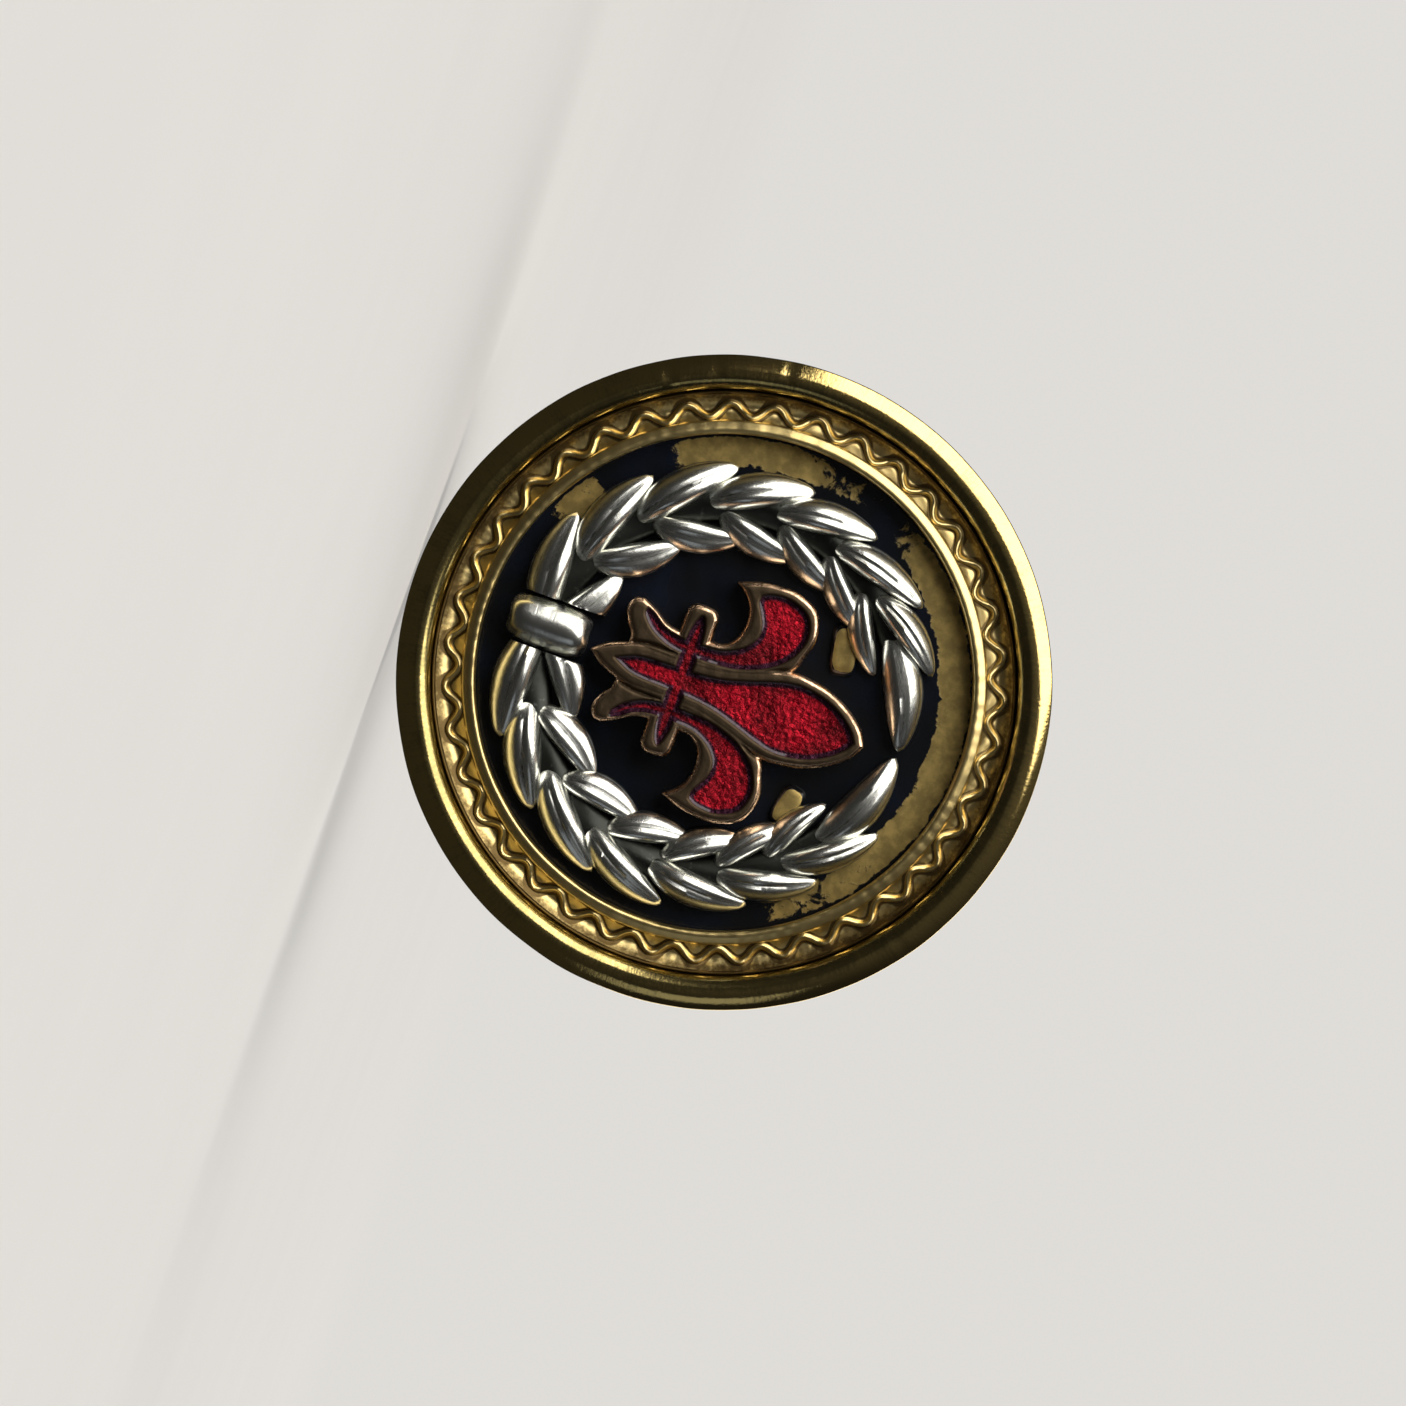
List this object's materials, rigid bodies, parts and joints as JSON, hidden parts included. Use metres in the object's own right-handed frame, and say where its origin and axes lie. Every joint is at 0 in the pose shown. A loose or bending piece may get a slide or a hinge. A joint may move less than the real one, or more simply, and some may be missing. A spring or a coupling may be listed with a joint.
{
  "type": "cap badge",
  "caption": "Round brass cap badge: rolled rim, zigzag border, black field, silver laurel wreath and red enamelled lily, with a screw post, round nut and washer behind.",
  "frame": {"origin": "centre of the clamping plane, the rear face of the back plate's raised land, on the screw post's axis", "axes": "the face looks towards -Y, +Z is the badge's top as worn, +X is to the right seen from the front; the screw post runs along +Y"},
  "size_m": [0.026, 0.0127, 0.026],
  "materials": {
    "aged_brass": "pressed brass, olive-brown patina with bright worn highlights",
    "struck_brass": "struck brass, bright on the raised lines and dark in the channel",
    "black_lacquer": "glossy black lacquer worn through to brass in patches",
    "old_silver": "polished old silver with dark tarnish in the hollows",
    "copper_bronze": "brown bronze with copper-coloured worn edges",
    "ruby_enamel": "translucent ruby enamel over textured metal",
    "grey_card": "matte packing card",
    "plated_brass": "dull plated brass"
  },
  "bodies": {
    "badge": {"rim_shell": "aged_brass", "border_ring": "struck_brass", "field_plate": "black_lacquer", "wreath_spray_left": "old_silver", "wreath_spray_right": "old_silver", "wreath_tie": "old_silver", "wreath_pin_1": "old_silver", "wreath_pin_2": "old_silver", "wreath_pin_3": "old_silver", "lily_frame": "copper_bronze", "lily_enamel": "ruby_enamel", "lily_pin_1": "copper_bronze", "lily_pin_2": "copper_bronze", "packing_disc": "grey_card", "back_plate": "plated_brass", "screw_post": "plated_brass", "locating_pin_left": "plated_brass", "locating_pin_right": "plated_brass"},
    "washer": {"clamp_washer": "plated_brass"},
    "nut": {"thumb_nut": "plated_brass"}
  },
  "joints": [
    {"name": "washer_slide", "type": "slide", "parent": "badge", "child": "washer", "axis": [0, 1, 0], "range_m": [0, 0.005]},
    {"name": "nut_turn", "type": "hinge", "parent": "washer", "child": "nut", "pos_m": [0, 0, 0], "axis": [0, 1, 0], "range_deg": [0, 3600]}
  ],
  "couplings": [
    {"joint": "nut_turn", "follows": "washer_slide", "rad_per_m": 12566}
  ]
}
